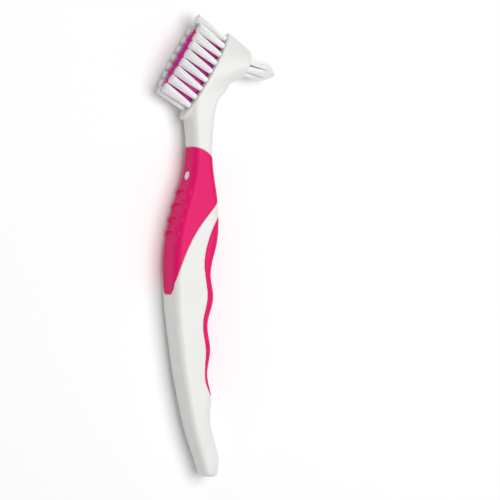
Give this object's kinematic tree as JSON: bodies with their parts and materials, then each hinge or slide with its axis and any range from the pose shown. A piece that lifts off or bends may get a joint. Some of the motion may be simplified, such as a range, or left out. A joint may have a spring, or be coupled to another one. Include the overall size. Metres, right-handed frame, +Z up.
{
  "type": "denture brush",
  "caption": "Hand brush for dentures, with a tilted oval head of stiff tufts, a small pointed tuft group behind it, and soft grips on a waved handle.",
  "frame": {"origin": "below the middle of the part's box, on the surface that the brush lies on", "axes": "+Y from the tail end to the head end, +X towards the rear tufts, -X towards the bristles of the head, +Z up, across the width of the handle"},
  "size_m": [0.0522, 0.1796, 0.0131],
  "materials": {
    "handle_plastic": "white moulded polypropylene, satin gloss",
    "grip_rubber": "bright pink thermoplastic rubber, satin",
    "white_nylon": "white nylon filaments, trimmed and end-rounded",
    "coloured_nylon": "magenta nylon filaments, trimmed and end-rounded",
    "anchor_brass": "plain rolled brass"
  },
  "bodies": {
    "root": {"handle": "handle_plastic", "front_grip": "grip_rubber", "rear_grip": "grip_rubber", "head_anchors": "anchor_brass", "rear_anchors": "anchor_brass", "outer_tuft_01": "white_nylon", "outer_tuft_02": "white_nylon", "outer_tuft_03": "white_nylon", "outer_tuft_04": "white_nylon", "outer_tuft_05": "white_nylon", "outer_tuft_06": "white_nylon", "outer_tuft_07": "white_nylon", "outer_tuft_08": "white_nylon", "outer_tuft_09": "white_nylon", "outer_tuft_10": "white_nylon", "outer_tuft_11": "white_nylon", "outer_tuft_12": "white_nylon", "outer_tuft_13": "white_nylon", "outer_tuft_14": "white_nylon", "outer_tuft_15": "white_nylon", "outer_tuft_16": "white_nylon", "outer_tuft_17": "white_nylon", "outer_tuft_18": "white_nylon", "rear_tuft_1": "white_nylon", "rear_tuft_2": "white_nylon", "rear_tuft_3": "white_nylon", "rear_tuft_4": "white_nylon", "rear_tuft_5": "white_nylon", "rear_tuft_6": "white_nylon", "rear_tuft_7": "white_nylon", "inner_tuft_01": "coloured_nylon", "inner_tuft_02": "coloured_nylon", "inner_tuft_03": "coloured_nylon", "inner_tuft_04": "coloured_nylon", "inner_tuft_05": "coloured_nylon", "inner_tuft_06": "coloured_nylon", "inner_tuft_07": "coloured_nylon", "inner_tuft_08": "coloured_nylon", "inner_tuft_09": "coloured_nylon", "inner_tuft_10": "coloured_nylon", "inner_tuft_11": "coloured_nylon", "inner_tuft_12": "coloured_nylon"}
  },
  "joints": []
}
